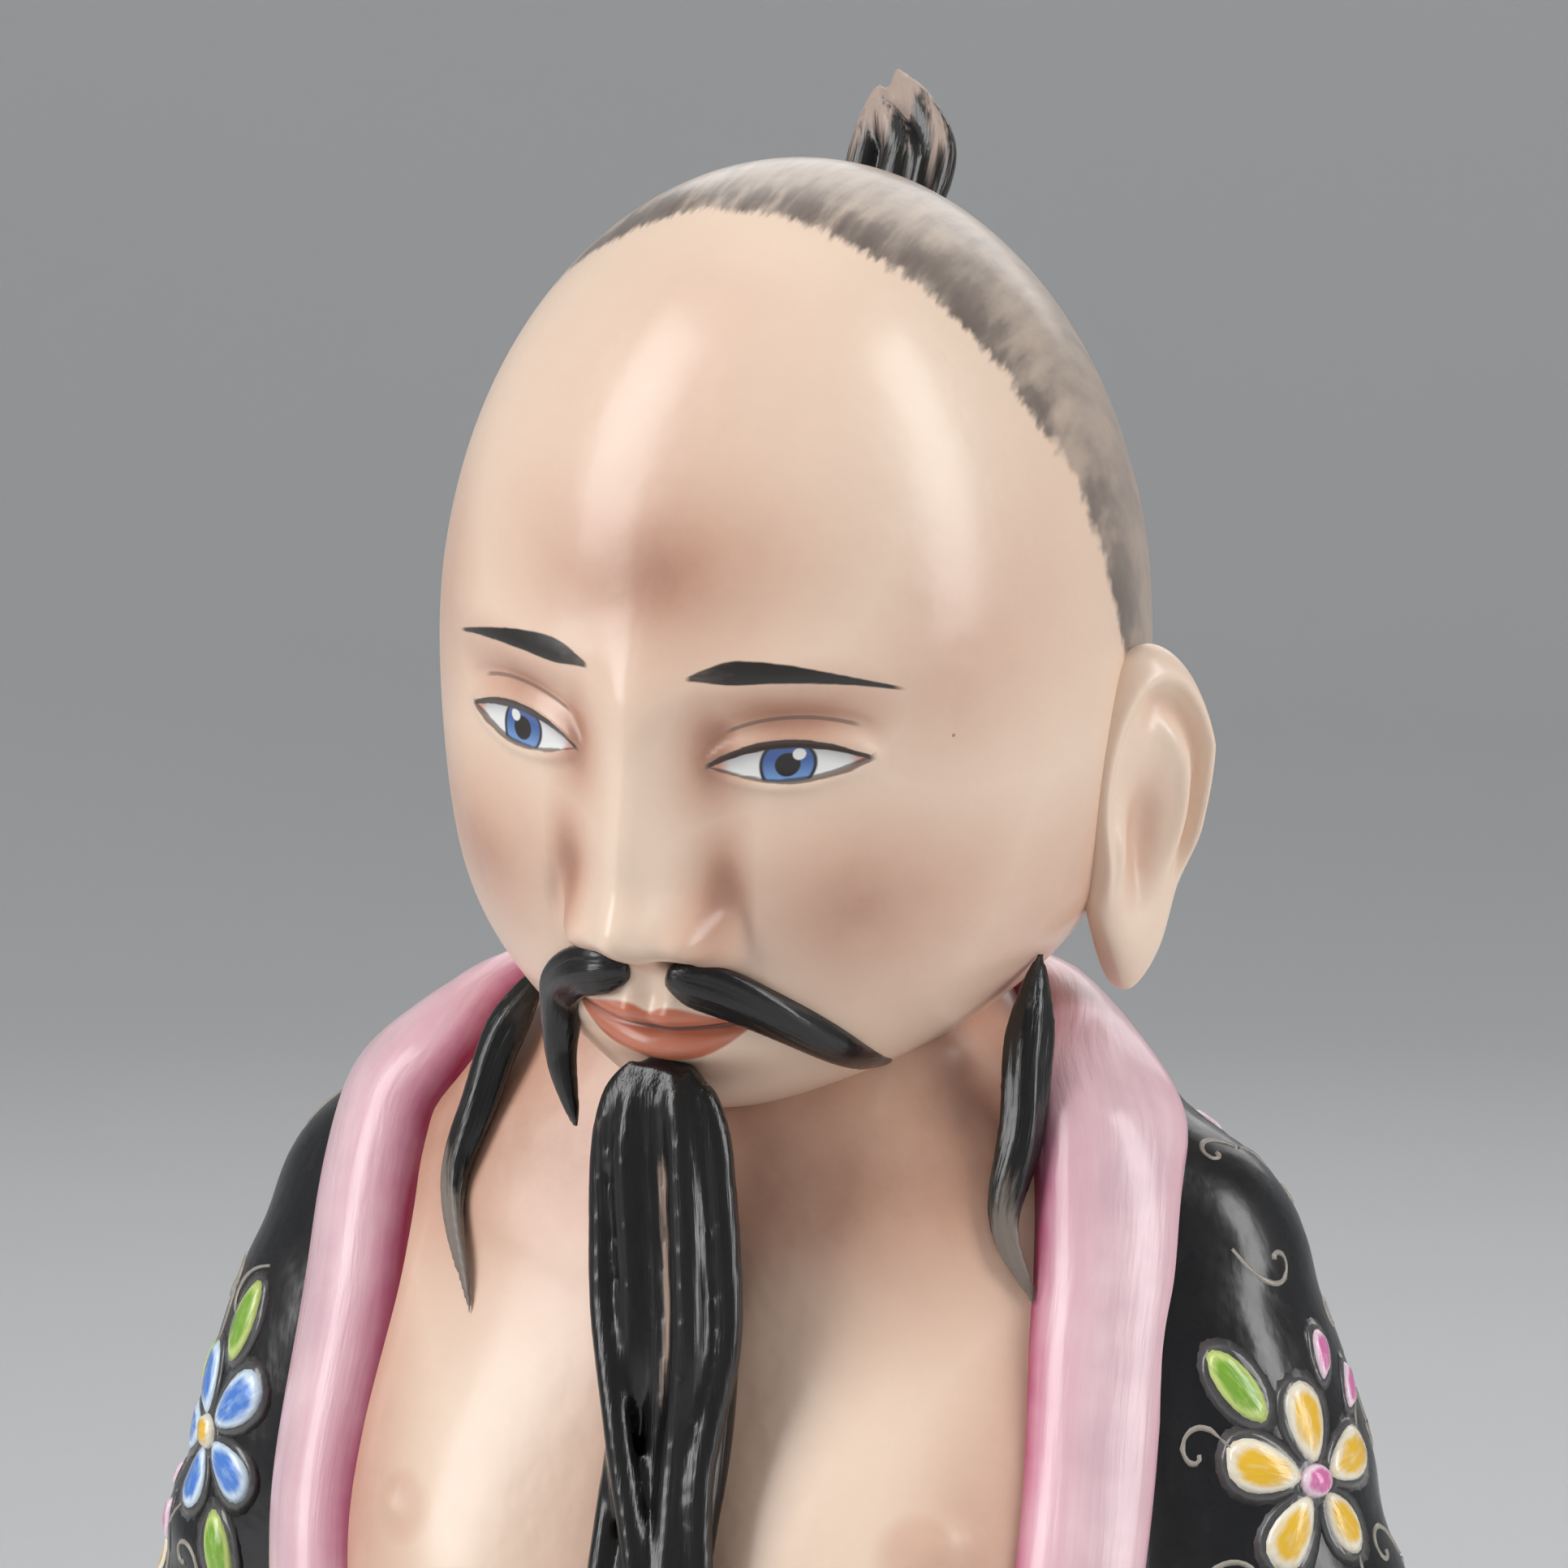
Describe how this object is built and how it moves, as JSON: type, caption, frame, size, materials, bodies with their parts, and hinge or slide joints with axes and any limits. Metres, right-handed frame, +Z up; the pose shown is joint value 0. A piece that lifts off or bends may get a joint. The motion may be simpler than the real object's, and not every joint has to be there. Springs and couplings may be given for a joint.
{
  "type": "ceramic figurine",
  "caption": "Standing robed sage figurine in glazed ceramic, with joined sleeves, a long beard and a hollow skirt that is open underneath; it stands on its hem.",
  "frame": {"origin": "centre of the bounding box in plan, at the height of the hem that the figure stands on", "axes": "+Z up to the topknot, -Y out of the figure's chest, +X to the figure's own left"},
  "size_m": [0.1164, 0.1004, 0.3367],
  "materials": {
    "flesh": "clear gloss glaze over painted flesh tone",
    "hair": "gloss black enamel, brushed",
    "black_robe": "gloss black enamel with painted floral scrolls",
    "pink_facing": "gloss pink enamel, shaded",
    "sash": "gloss blue enamel"
  },
  "bodies": {
    "root": {"torso": "flesh", "head": "flesh", "ear_left": "flesh", "ear_right": "flesh", "topknot": "hair", "moustache_left": "hair", "moustache_right": "hair", "beard": "hair", "side_lock_left": "hair", "side_lock_right": "hair", "robe_back": "black_robe", "robe_skirt": "black_robe", "sleeve_left": "black_robe", "sleeve_right": "black_robe", "shoe_left": "black_robe", "shoe_right": "black_robe", "collar_back": "pink_facing", "lapel_left": "pink_facing", "lapel_right": "pink_facing", "cuff_left": "pink_facing", "cuff_right": "pink_facing", "front_band_left": "pink_facing", "front_band_right": "pink_facing", "sash": "sash"}
  },
  "joints": []
}
